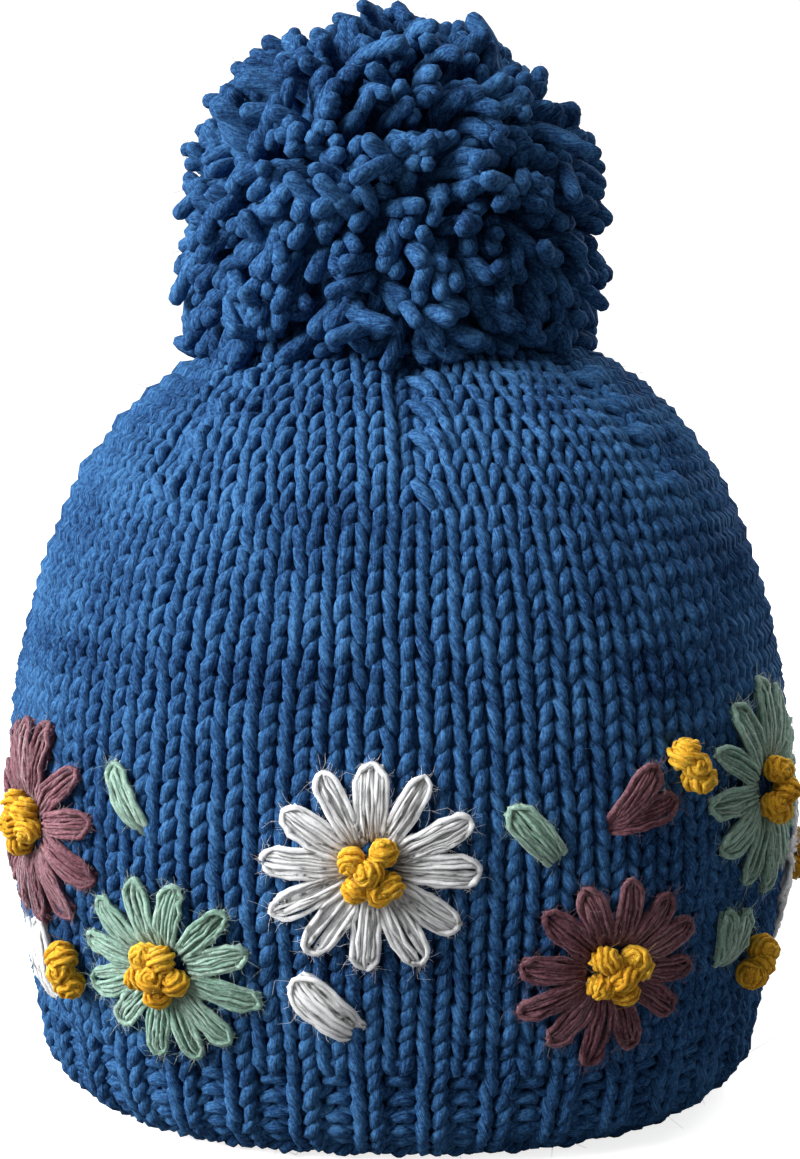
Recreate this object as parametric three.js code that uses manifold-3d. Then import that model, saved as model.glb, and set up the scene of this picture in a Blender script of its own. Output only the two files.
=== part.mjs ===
// A hand-knitted beanie: ribbed brim, knitted crown, pompom and wool embroidery.
// Millimetres, +Z up. The hat stands on its brim at z = 0, with its front towards -Y.

import * as THREE from 'three';
import { mergeVertices } from 'three/addons/utils/BufferGeometryUtils.js';
import Module from 'manifold-3d';

const wasm = await Module();
wasm.setup();

// Driving dimensions
const GAP = 0.3; // between pieces that touch
const WALL = 4.5; // thickness of the knitted wall
const DEPTH_SHARE = 0.938; // the hat's depth, front to back, over its width
const SQUARENESS = 2.43; // power of the superellipse seen from above, where 2 is an ellipse
const RIB_TOP = 24; // length of the brim, measured along its outer face from the edge
const RIBS = 40; // pairs of a knit and a purl column round the brim
const RIB_DEPTH = 1.6; // how far a purl column lies behind a knit column
const RIM_FLAT = 3.4; // width of the face that the hat rests on
const CLOSING_LINES = 10; // lines of decreases, which run up to the top of the crown
const CLOSING_START = 132.5; // where they start, measured as RIB_TOP is
const CLOSING_DEPTH = 1.1; // how far such a line sinks into the crown
const CROWN_COLUMNS = 60; // facets round the crown
const CROWN_ROWS = 12; // facets up its outer face
const CROWN_LINING_ROWS = 7; // facets up its inner face

// The hat's outline from the front: how far it reaches sideways at each height.
const OUTLINE = [
  { reach: 66.8, height: 0 },
  { reach: 74.6, height: 6.6 },
  { reach: 77.7, height: 16.6 },
  { reach: 81.3, height: 33.2 },
  { reach: 83.7, height: 53.2 },
  { reach: 82.7, height: 74.7 },
  { reach: 78.7, height: 96.3 },
  { reach: 72.3, height: 116.3 },
  { reach: 63.3, height: 132.9 },
  { reach: 50.0, height: 146.2 },
  { reach: 32.2, height: 156.1 },
  { reach: 13.0, height: 163.6 },
  { reach: 0, height: 165.6 },
];

const POMPOM = {
  x: -2,
  height: 173, // of its middle
  head: 41, // radius of the tightly packed middle
  spread: 47.5, // radius to the yarn ends at the sides
  rise: 50.5, // radius to the yarn ends at the top
  locks: 76,
  lockRadius: 5.2,
  tipRadius: 3.1,
  lockLength: 17,
  unevenness: 3, // how much the locks differ in length
};

// Embroidery stands on the crown's outer face. Round is a share of the way round from the
// front, positive to the hat's left as seen from the front, and up is measured as RIB_TOP is.
const PETAL = { halfWidth: 3.7, rise: 2.3, foot: 0.4 };
const KNOT = { radius: 2.75, height: 2.2 };
// A rosette is a round of lobes. Each lobe has columns at these shares of its own turn, the
// first in the notch between two lobes, with the share of the rosette's reach to its edge there.
const DAISY_LOBES = { count: 12, columns: [-0.5, -0.3, 0.3], edges: [0.6, 0.96, 0.96] };
const KNOT_LOBES = { count: 6, columns: [-0.5, -0.17, 0.17], edges: [0.8, 1, 1] };
// Rings of a rosette, from the middle of its top over its edge to the middle of its foot: share
// of the way to the edge, and rise over the foot in the notches and on the lobes.
const DAISY_RINGS = [
  { share: 0, notch: 0.9, lobe: 0.9 },
  { share: 0.7, notch: 0.8, lobe: 2.9 },
  { share: 1, notch: 0.4, lobe: 0.8 },
  { share: 0.5, notch: 0, lobe: 0 },
  { share: 0, notch: 0, lobe: 0 },
];
const KNOT_RINGS = [
  { share: 0, notch: 4.6, lobe: 4.6 },
  { share: 0.55, notch: 3.5, lobe: 4.6 },
  { share: 1, notch: 1.8, lobe: 2.2 },
  { share: 0.75, notch: 0, lobe: 0 },
  { share: 0, notch: 0, lobe: 0 },
];
const KNOT_HEAP = { reach: 6.6, foot: 1.95 };
const WOOL = { blue: '#3c69a3', white: '#e6e5e2', rose: '#86525d', sage: '#86a796', mustard: '#d79d22' };

const DAISIES = [
  { name: 'front_white', round: -0.01, up: 65.8, tip: 20.6, turn: 4, wool: 'white' },
  { name: 'front_left_sage', round: -0.087, up: 43.4, tip: 18.9, turn: 12, wool: 'sage' },
  { name: 'left_rose', round: -0.163, up: 65.8, tip: 21.4, turn: 20, wool: 'rose' },
  { name: 'front_right_rose', round: 0.077, up: 44.3, tip: 18.9, turn: 8, wool: 'rose' },
  { name: 'right_sage', round: 0.158, up: 72.7, tip: 21.0, turn: 0, wool: 'sage' },
  { name: 'right_white', round: 0.226, up: 50.0, tip: 19.2, turn: 15, wool: 'white' },
  { name: 'back_right_rose', round: 0.312, up: 67.0, tip: 20.4, turn: 6, wool: 'rose' },
  { name: 'back_right_sage', round: 0.392, up: 44.5, tip: 19.0, turn: 22, wool: 'sage' },
  { name: 'back_white', round: 0.475, up: 66.0, tip: 20.6, turn: 10, wool: 'white' },
  { name: 'back_left_rose', round: -0.442, up: 44.0, tip: 19.0, turn: 3, wool: 'rose' },
  { name: 'back_left_sage', round: -0.352, up: 68.5, tip: 20.6, turn: 17, wool: 'sage' },
  { name: 'left_white', round: -0.262, up: 46.0, tip: 19.4, turn: 25, wool: 'white' },
];
// Lean turns a leaf's or bud's long axis away from upright, in degrees, towards the hat's left.
const LEAVES = [
  { name: 'left_sage', round: -0.1, up: 77, length: 15, width: 6.6, lean: -30, wool: 'sage' },
  { name: 'front_white', round: -0.027, up: 38.7, length: 16.6, width: 8.2, lean: -46, wool: 'white' },
  { name: 'front_sage', round: 0.047, up: 71.4, length: 15, width: 8, lean: -40, wool: 'sage' },
  { name: 'back_right_sage', round: 0.357, up: 79, length: 15, width: 7.2, lean: -32, wool: 'sage' },
  { name: 'back_white', round: 0.446, up: 39, length: 16, width: 8, lean: 40, wool: 'white' },
];
// Side is the direction, in degrees from upright, in which a bud's knots lie from its petals.
const BUDS = [
  { name: 'right_rose', round: 0.0865, up: 75.5, length: 14.5, lean: 58, side: 58, wool: 'rose' },
  { name: 'right_sage', round: 0.137, up: 46, length: 13, lean: 12, side: 128, wool: 'sage' },
  { name: 'left_white', round: -0.157, up: 36.8, length: 14, lean: -28, side: 76, wool: 'white' },
  { name: 'back_rose', round: -0.418, up: 82, length: 14, lean: 50, side: 60, wool: 'rose' },
  { name: 'back_sage', round: -0.318, up: 40, length: 13, lean: 10, side: 130, wool: 'sage' },
];

// The wall: round, up and out give a point of the hat, out being the distance from its outer face.
const outline = new THREE.CatmullRomCurve3(
  OUTLINE.map(({ reach, height }) => new THREE.Vector3(reach, 0, height)),
);
outline.arcLengthDivisions = 800;
const OUTLINE_LENGTH = outline.getLength();

const SECTION_STEPS = 1440;
const section = [];
for (let step = 0, length = 0; step <= SECTION_STEPS; step += 1) {
  const angle = (step / SECTION_STEPS) * 2 * Math.PI;
  const across = Math.abs(Math.sin(angle)) ** SQUARENESS;
  const deep = Math.abs(Math.cos(angle)) ** SQUARENESS;
  const radius = (across + deep) ** (-1 / SQUARENESS);
  const point = new THREE.Vector2(radius * Math.sin(angle), -DEPTH_SHARE * radius * Math.cos(angle));
  length += step ? point.distanceTo(section[step - 1].point) : 0;
  section.push({ point, length });
}
const SECTION_GIRTH = section[SECTION_STEPS].length;

/** The point of the unit section that lies a share of its girth from the front. */
function sectionPoint(round) {
  const length = (round - Math.floor(round)) * SECTION_GIRTH;
  let low = 0;
  let high = SECTION_STEPS;
  while (high - low > 1) {
    const middle = (low + high) >> 1;
    if (section[middle].length <= length) low = middle;
    else high = middle;
  }
  const part = (length - section[low].length) / (section[high].length - section[low].length);
  return section[low].point.clone().lerp(section[high].point, part);
}

/** Reach and height of the wall at a length up its outline, and a distance out from it. */
function profilePoint(up, out = 0) {
  const share = THREE.MathUtils.clamp(up / OUTLINE_LENGTH, 0, 1);
  const point = outline.getPointAt(share);
  const along = outline.getTangentAt(share);
  return new THREE.Vector2(Math.max(point.x + out * along.z, 0), point.z - out * along.x);
}

function wallPoint(round, up, out) {
  const { x: reach, y: height } = profilePoint(up, out);
  const across = sectionPoint(round);
  return new THREE.Vector3(reach * across.x, reach * across.y, height);
}

// Solids
function bare(geometry) {
  geometry.deleteAttribute('normal');
  geometry.deleteAttribute('uv');
  return mergeVertices(geometry, 1e-4);
}

function toSolid(geometry) {
  const closed = bare(geometry.clone());
  return new wasm.Manifold(new wasm.Mesh({
    numProp: 3,
    vertProperties: new Float32Array(closed.attributes.position.array),
    triVerts: new Uint32Array(closed.index.array),
  }));
}

function toGeometry(solid) {
  const mesh = solid.getMesh();
  const geometry = new THREE.BufferGeometry();
  geometry.setAttribute('position', new THREE.BufferAttribute(mesh.vertProperties, 3));
  geometry.setIndex(new THREE.BufferAttribute(mesh.triVerts, 1));
  return geometry;
}

function fused(geometries) {
  return geometries.map(toSolid).reduce((whole, piece) => whole.add(piece));
}

/** Moves each vertex of a geometry to where place says. */
function reshaped(geometry, place) {
  const position = geometry.attributes.position;
  const point = new THREE.Vector3();
  for (let i = 0; i < position.count; i += 1) {
    const moved = place(point.fromBufferAttribute(position, i));
    position.setXYZ(i, moved.x, moved.y, moved.z);
  }
  return geometry;
}

/** A profile turned round the axis, then pressed to the hat's section, with a relief on its reach. */
function turned(profile, columns, relief) {
  const lathe = bare(new THREE.LatheGeometry(profile, columns).rotateX(Math.PI / 2));
  return reshaped(lathe, ({ x, y, z }) => {
    const round = Math.atan2(x, -y) / (2 * Math.PI);
    const reach = Math.hypot(x, y);
    const across = sectionPoint(round).multiplyScalar(reach < 0.01 ? 0 : reach + relief(round, z));
    return new THREE.Vector3(across.x, across.y, z);
  });
}

/** Evenly spaced numbers from first to last, both included. */
function steps(first, last, count) {
  return Array.from({ length: count + 1 }, (_, i) => first + ((last - first) * i) / count);
}

// Crown
const CLOSING_HEIGHT = profilePoint(CLOSING_START).y;

function closingRelief(round, height) {
  const onLine = Math.abs(Math.sin(Math.PI * CLOSING_LINES * round)) < 0.1;
  const depth = CLOSING_DEPTH * THREE.MathUtils.smoothstep(height, CLOSING_HEIGHT - 4, CLOSING_HEIGHT + 8);
  return onLine ? -depth : 0;
}

function crown() {
  const bottom = RIB_TOP + GAP / 2;
  const rows = steps(bottom, OUTLINE_LENGTH, CROWN_ROWS).map((up) => profilePoint(up));
  const top = OUTLINE_LENGTH - WALL / 4;
  const lining = steps(top, bottom, CROWN_LINING_ROWS).map((up) => profilePoint(up, -WALL));
  lining[0].x = 0;
  rows[CROWN_ROWS].x = 0;
  return turned([...lining, ...rows], CROWN_COLUMNS, closingRelief);
}

/** The space that the crown takes up and what is inside it, with a clearance all round. */
function crownSpace(clearance) {
  const rows = steps(RIB_TOP, OUTLINE_LENGTH, CROWN_ROWS).map((up) => profilePoint(up, clearance));
  rows[CROWN_ROWS].x = 0;
  const floor = new THREE.Vector2(0, rows[0].y);
  return turned([floor, ...rows], CROWN_COLUMNS, () => 0);
}

// Brim
function ribRelief(round) {
  return (RIB_DEPTH * (Math.cos(2 * Math.PI * RIBS * round + Math.PI) - 0.5)) / 1.5;
}

function ribbedBrim() {
  const top = RIB_TOP - GAP / 2;
  const edge = profilePoint(0);
  const outer = steps(0, top, 4).map((up) => profilePoint(up));
  const inner = steps(top, top / 4, 2).map((up) => profilePoint(up, -WALL));
  const foot = new THREE.Vector2(edge.x - RIM_FLAT, 0);
  return turned([foot, ...outer, ...inner, foot], RIBS * 3, ribRelief);
}

// Pompom
/** A repeatable number from 0 to 1 for each whole number. */
function scatter(seed) {
  const wave = Math.sin(seed * 12.9898) * 43758.5453;
  return wave - Math.floor(wave);
}

function pompomLock(index) {
  const rise = 1 - (2 * (index + 0.5)) / POMPOM.locks;
  const angle = index * Math.PI * (3 - Math.sqrt(5));
  const level = Math.sqrt(1 - rise * rise);
  const direction = new THREE.Vector3(level * Math.cos(angle), level * Math.sin(angle), rise);
  const lean = new THREE.Vector3(scatter(index) - 0.5, scatter(index + 500) - 0.5, scatter(index + 900) - 0.5);
  const shape = new THREE.CylinderGeometry(POMPOM.tipRadius, POMPOM.lockRadius, POMPOM.lockLength, 5);
  const length = -POMPOM.unevenness * scatter(index + 200);
  shape.translate(0, length - POMPOM.lockLength / 2, 0);
  const tip = direction.clone().multiply(new THREE.Vector3(POMPOM.spread, POMPOM.spread, POMPOM.rise));
  const axis = direction.addScaledVector(lean, 0.7).normalize();
  shape.applyQuaternion(new THREE.Quaternion().setFromUnitVectors(new THREE.Vector3(0, 1, 0), axis));
  return shape.translate(tip.x, tip.y, tip.z);
}

function pompom() {
  const head = new THREE.SphereGeometry(POMPOM.head, 14, 9).rotateX(Math.PI / 2);
  const shapes = [head];
  for (let index = 0; index < POMPOM.locks; index += 1) {
    const lock = pompomLock(index);
    lock.computeBoundingBox();
    if (lock.boundingBox.max.z > -16) shapes.push(lock);
  }
  const ball = fused(shapes).translate([POMPOM.x, 0, POMPOM.height]);
  return toGeometry(ball.subtract(toSolid(crownSpace(GAP))));
}

// Embroidery
/** Lays a flat shape, drawn across and along with its thickness in z, on the crown. */
function laidOn(geometry, round, up) {
  return reshaped(geometry, ({ x, y, z }) => {
    const girth = SECTION_GIRTH * profilePoint(up + y).x;
    return wallPoint(round + x / girth, up + y, z);
  });
}

/** A petal from start to tip along +Y, fuller towards its tip, on a foot that is almost flat. */
function petal(start, tip, halfWidth, rise) {
  const half = (tip - start) / 2;
  return reshaped(bare(new THREE.SphereGeometry(1, 5, 4)), ({ x, y, z }) => new THREE.Vector3(
    x * halfWidth * (1 + 0.28 * y),
    start + half * (1 + y),
    GAP + (z < 0 ? PETAL.foot * (1 + z) : PETAL.foot + z * rise),
  ));
}

/** A round of lobes on a foot that clears the crown by its height. */
function rosette(lobes, rings, reach, foot, turn) {
  const columns = lobes.count * lobes.columns.length;
  const shape = bare(new THREE.CylinderGeometry(1, 1, 1, columns, rings.length - 1, true).rotateX(Math.PI / 2));
  reshaped(shape, ({ x, y, z }) => {
    const { share, notch, lobe } = rings[Math.round((0.5 - z) * (rings.length - 1))];
    const column = Math.round((Math.atan2(x, y) / (2 * Math.PI)) * columns + columns) % columns;
    const place = column % lobes.columns.length;
    const turns = (Math.floor(column / lobes.columns.length) + lobes.columns[place]) / lobes.count;
    const angle = THREE.MathUtils.degToRad(turn) + turns * 2 * Math.PI;
    const away = reach * share * lobes.edges[place];
    const rise = place === 0 ? notch : lobe;
    return new THREE.Vector3(away * Math.sin(angle), away * Math.cos(angle), foot + rise);
  });
  return toGeometry(toSolid(shape));
}

/** A French knot at a place beside the middle of its heap. */
function knot(across, along, foot) {
  return new THREE.IcosahedronGeometry(1, 0)
    .scale(KNOT.radius, KNOT.radius, KNOT.height)
    .translate(across * KNOT.radius, along * KNOT.radius, foot + KNOT.height);
}

function daisyPetals({ round, up, tip, turn }) {
  return laidOn(rosette(DAISY_LOBES, DAISY_RINGS, tip, GAP, turn), round, up);
}

function daisyKnots({ round, up, turn }) {
  return laidOn(rosette(KNOT_LOBES, KNOT_RINGS, KNOT_HEAP.reach, KNOT_HEAP.foot, turn), round, up);
}

function leaf({ round, up, length, width, lean }) {
  const shape = petal(-length / 2, length / 2, width / 2, PETAL.rise);
  return laidOn(shape.rotateZ(THREE.MathUtils.degToRad(-lean)), round, up);
}

function budPetals({ round, up, length, lean }) {
  const spread = THREE.MathUtils.degToRad(16);
  const shapes = [-1, 1].map((side) => petal(-length / 2, length / 2, PETAL.halfWidth, PETAL.rise)
    .translate(side * PETAL.halfWidth * 0.72, 0, 0)
    .rotateZ(THREE.MathUtils.degToRad(-lean) - side * spread));
  return laidOn(toGeometry(fused(shapes)), round, up);
}

function budKnots({ round, up, length, side }) {
  const angle = THREE.MathUtils.degToRad(side);
  const away = length / 2 + KNOT.radius + 1.4;
  const heap = [-0.8, 0.8].map((across) => knot(across, 0, GAP)
    .translate(0, away, 0)
    .rotateZ(-angle));
  return laidOn(toGeometry(fused(heap)), round, up);
}

// Assembly
const beanie = new THREE.Group();

function add(name, geometry, wool) {
  const material = new THREE.MeshStandardMaterial({ color: WOOL[wool], roughness: 0.95, metalness: 0 });
  const mesh = new THREE.Mesh(geometry, material);
  mesh.name = name;
  beanie.add(mesh);
}

add('ribbed_brim', ribbedBrim(), 'blue');
add('crown', crown(), 'blue');
add('pompom', pompom(), 'blue');
for (const daisy of DAISIES) {
  add(`daisy_${daisy.name}_petals`, daisyPetals(daisy), daisy.wool);
  add(`daisy_${daisy.name}_knots`, daisyKnots(daisy), 'mustard');
}
for (const bud of BUDS) {
  add(`bud_${bud.name}_petals`, budPetals(bud), bud.wool);
  add(`bud_${bud.name}_knots`, budKnots(bud), 'mustard');
}
for (const piece of LEAVES) add(`leaf_${piece.name}`, leaf(piece), piece.wool);

export default beanie;
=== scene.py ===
"""A hand-knitted beanie: ribbed brim, knitted crown, yarn pompom and wool daisies.

Every stitch, lock and petal is a strand of yarn, laid down as a curve and swept into a tube.
Its path is worked out in millimetres. Around is a share of the way round the hat from its
front, up is the length along its outline from the edge of the brim, and out is the distance
from its outer face.
"""

import math

import bmesh
import bpy
import numpy as np
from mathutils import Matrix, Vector


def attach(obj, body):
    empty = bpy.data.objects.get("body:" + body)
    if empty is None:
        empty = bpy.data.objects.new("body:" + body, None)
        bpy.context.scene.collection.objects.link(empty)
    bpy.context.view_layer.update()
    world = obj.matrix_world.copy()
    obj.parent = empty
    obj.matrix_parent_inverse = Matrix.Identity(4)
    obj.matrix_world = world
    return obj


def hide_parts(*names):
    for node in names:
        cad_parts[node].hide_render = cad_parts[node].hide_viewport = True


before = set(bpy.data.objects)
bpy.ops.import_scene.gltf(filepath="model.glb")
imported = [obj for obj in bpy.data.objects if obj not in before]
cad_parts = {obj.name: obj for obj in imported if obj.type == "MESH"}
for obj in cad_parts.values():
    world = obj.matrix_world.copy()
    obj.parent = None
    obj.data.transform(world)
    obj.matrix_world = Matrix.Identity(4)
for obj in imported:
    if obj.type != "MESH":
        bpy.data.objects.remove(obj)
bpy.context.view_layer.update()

MM = 0.001

# The hat's form. Lengths are in millimetres here and below, unless a comment says otherwise.
OUTLINE = (
    # reach sideways, height
    (68.4, 0.0),
    (75.8, 6.6),
    (78.3, 16.6),
    (80.5, 33.2),
    (83.0, 53.2),
    (82.3, 74.7),
    (78.7, 96.3),
    (72.3, 116.3),
    (63.3, 132.9),
    (50.0, 146.2),
    (32.2, 156.1),
    (13.0, 163.6),
    (0.0, 165.6),
)
DEPTH_SHARE = 0.938  # depth over width, seen from above
SQUARENESS = 2.43  # power of the superellipse that the hat is from above
OUTLINE_STEPS = 60  # points on the curve between two rows of the outline
SECTION_POINTS = 1441
LEAST_REACH = 0.3  # so that the yarn doesn't cross the hat's middle line
RIB_TOP = 24.0  # length up the outline
CLOSING_START = 132.5  # length up the outline at which the decreases start

# The knitting
WALES = 80  # columns of stitches round the hat
YARN_RADIUS = 1.29
YARN_SIDES = 5
STITCH_STEPS = 12
STITCH_DEPTH = 1.4  # swing of a stitch behind and before its middle
STITCH_TALL = 0.95  # of the height of its course, up and down from its middle
STITCH_WAVE = 0.2  # sideways swing of the yarn in a stitch, as a share of its width
STITCH_GIRTH, STITCH_SWELLING = 0.84, 0.24  # of the yarn at a stitch's top, and what its legs gain
TIP_SHARE = 0.35  # of the lean, lost at a stitch's top and foot
RIB_COURSES = 6
BODY_COURSES = 28
FIRST_COURSE, LAST_COURSE = 3.5, 4.3  # heights of the lowest and highest body course
LEAN = (30, 105), (0.075, 0.01)  # lengths up the hat, and the stitches' lean to the right there
LOWEST_LEAN, CLOSING_LEAN = LEAN[1]

# Unevenness of hand knitting: how far single stitches stray, as shares or in millimetres
TALL_SPREAD, TIP_SPREAD, ACROSS_SPREAD, DEPTH_SPREAD = 0.05, 0.06, 0.03, 0.12
STITCH_GIRTH_SPREAD, POINT_GIRTH_SPREAD = 0.06, 0.03
# and slow waves over the fabric: their turns round the hat, seed and size
DRIFT = (3, 5, 9), 11, 0.0009  # sideways, as a share of the way round
SAG = (2, 4, 7), 12, 0.5
SWELL = (4, 7, 11), 13, 0.22
WAVE_LEAN = 90  # length up the hat in which a wave moves on by about a radian for each of its turns
SAG_START = 20  # the sag grows from nothing at the edge to its full size here

# The rib
RIB_START = 2.2  # length up the outline from which its courses are counted
RIB_INSET = 1.2  # of the rib's height, beside its courses
RIB_MIDDLE = 0.35  # of a course, from its foot to the line that its yarn follows
KNIT_WIDER = 0.12  # how much wider than the purl columns the knit columns are
KNIT_BULGE, KNIT_DIP = 1.5, 0.5  # of a knit stitch, out at its legs and in at its top
PURL_BULGE, PURL_DIP = 0.75, 1.7  # of a purl stitch, out at its top and in at its legs
PURL_GIRTH, PURL_THINNING = 1.15, 0.25  # of the yarn at a purl stitch's top, and what its legs lose
EDGE_LOWEST = 1.0  # length up the outline at which the sheet behind the rib starts
EDGE_UP, EDGE_OUT = 2.0, -2.2  # middle of the cord along the edge
EDGE_TWIST = 0.8  # distance of the cord's two plies from its middle
EDGE_PUCKER = 0.5
EDGE_RADIUS = 1.15
EDGE_POINTS = 960

# The decreases, in sections round the top
SECTIONS = 8
SECTION_SHIFT = 0.00625  # of the first line of decreases from the front
CLOSING_COURSE = 4.2  # height of a course
CLOSING_COUNTS = (9, 9, 9, 8, 8, 7, 7, 6, 6, 5, 4, 4, 3, 3, 2, 2, 1, 1)  # stitches in a section
COUNT_MIDDLES = (-1.5, 1, 3.5, 5.5, 7.5, 9, 10.5, 12.5, 14.5, 16.5)  # of the courses at each count
CLOSING_MARGIN = 4  # between the last course and the hat's middle, along the outline
TOP_GAP = 0.5  # between the sheet behind the courses and the hat's middle
CLOSING_DEPTH, CLOSING_WIDTH = 1.7, 2.6  # of the groove along a line of decreases
DECREASE_LEAN, DECREASE_OUT, DECREASE_GIRTH = 0.42, 0.7, 1.12  # of a stitch that takes in two
FULL_WIDTH, LEAST_GIRTH = 6.2, 0.35  # stitches narrower than this have thinner yarn, down to a share

# Sheets behind the stitches, by how far out they lie
BRIM_SKIN, LOWER_SKIN, MIDDLE_SKIN, TOP_SKIN = -3.4, -2.7, -2.5, -2.7

# Stray fibres: how many there are and their usual length
HAT_MIDDLE = np.array((0.0, 0.0, 80.0))  # those on the knitting and the embroidery point away from it
KNIT_HAIRS, KNIT_HAIR_LENGTH = 2400, 3.2
POMPOM_HAIRS, POMPOM_HAIR_LENGTH = 1100, 2.6
PETAL_HAIRS, PETAL_HAIR_LENGTH = 12, 2.1  # on a petal
KNOT_HAIRS, KNOT_HAIR_LENGTH = 90, 1.4  # on a daisy's middle
HAIR_ROOT = 0.85  # share of the yarn's radius at which a hair starts
HAIR_CURL = 0.9
HAIR_DROOP = 0.25
HAIR_GIRTH = 0.048
TAPER = np.array((1, 0.9, 0.5))  # girth at a hair's root, bend and tip
HAIR_FLOOR = 0.1  # least height of a hair over the floor

rng = np.random.default_rng(7)


# Geometry of the wall
def smooth_line(points, steps):
    """Points of a centripetal Catmull-Rom curve through the given ones."""
    points = np.array(points)
    points = np.vstack((2 * points[0] - points[1], points, 2 * points[-1] - points[-2]))
    share = np.linspace(0, 1, steps, endpoint=False)[:, None]
    parts = []
    for before, start, end, after in zip(points, points[1:], points[2:], points[3:]):
        gap_in, gap, gap_out = (
            math.sqrt(np.linalg.norm(b - a)) for a, b in ((before, start), (start, end), (end, after))
        )
        leave = (start - before) / gap_in - (end - before) / (gap_in + gap) + (end - start) / gap
        arrive = (end - start) / gap - (after - start) / (gap + gap_out) + (after - end) / gap_out
        square, cube = share**2, share**3
        parts.append(
            (2 * cube - 3 * square + 1) * start
            + (cube - 2 * square + share) * leave * gap
            + (3 * square - 2 * cube) * end
            + (cube - square) * arrive * gap
        )
    return np.vstack((*parts, points[-2]))


def running_length(points):
    """Length along a line at each of its points."""
    return np.concatenate(([0], np.cumsum(np.linalg.norm(np.diff(points, axis=0), axis=1))))


profile = smooth_line(OUTLINE, OUTLINE_STEPS)
profile_length = running_length(profile)
profile_along = np.gradient(profile, profile_length, axis=0)
profile_along /= np.linalg.norm(profile_along, axis=1)[:, None]
FULL_LENGTH = profile_length[-1]

section_turn = np.linspace(0, 2 * math.pi, SECTION_POINTS)
section_radius = (
    np.abs(np.sin(section_turn)) ** SQUARENESS + np.abs(np.cos(section_turn)) ** SQUARENESS
) ** (-1 / SQUARENESS)
section = np.stack(
    (
        section_radius * np.sin(section_turn),
        -DEPTH_SHARE * section_radius * np.cos(section_turn),
    ),
    axis=1,
)
section_length = running_length(section)
GIRTH = section_length[-1]  # of a section that reaches 1 to each side


def reach_at(up):
    """Half the hat's width at a length up its outline."""
    return np.interp(up, profile_length, profile[:, 0])


def wall(around, up, out):
    """Points of the hat, from arrays of the same shape."""
    across = np.interp(up, profile_length, profile_along[:, 1])
    rising = np.interp(up, profile_length, -profile_along[:, 0])
    reach = np.maximum(reach_at(up) + out * across, LEAST_REACH)
    height = np.interp(up, profile_length, profile[:, 1]) + out * rising
    place = (around % 1) * GIRTH
    return np.stack(
        (
            reach * np.interp(place, section_length, section[:, 0]),
            reach * np.interp(place, section_length, section[:, 1]),
            height,
        ),
        axis=-1,
    )


# Nodes
class Field:
    """A node's output that takes part in sums."""

    def __init__(self, tree, socket):
        self.tree = tree
        self.socket = socket

    def combined(self, operation, first, second):
        return self.tree.value("ShaderNodeMath", {"operation": operation}, {0: first, 1: second})

    def __add__(self, other):
        return self.combined("ADD", self, other)

    def __radd__(self, other):
        return self.combined("ADD", other, self)

    def __sub__(self, other):
        return self.combined("SUBTRACT", self, other)

    def __rsub__(self, other):
        return self.combined("SUBTRACT", other, self)

    def __mul__(self, other):
        return self.combined("MULTIPLY", self, other)

    def __rmul__(self, other):
        return self.combined("MULTIPLY", other, self)


class Tree:
    """Adds nodes to a material's or a modifier's node tree."""

    def __init__(self, nodes):
        self.nodes = nodes

    def node(self, kind, settings=None, inputs=None):
        """A node of that kind, with its settings made first and its sockets filled or linked."""
        node = self.nodes.nodes.new(kind)
        for name, value in (settings or {}).items():
            setattr(node, name, value)
        for key, value in (inputs or {}).items():
            if isinstance(value, Field):
                self.nodes.links.new(value.socket, node.inputs[key])
            else:
                node.inputs[key].default_value = value
        return node

    def value(self, kind, settings=None, inputs=None, output=0):
        """One output of a new node, as a field."""
        return Field(self, self.node(kind, settings, inputs).outputs[output])


TINT_SEED = 3  # of the random tint of each strand


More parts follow.
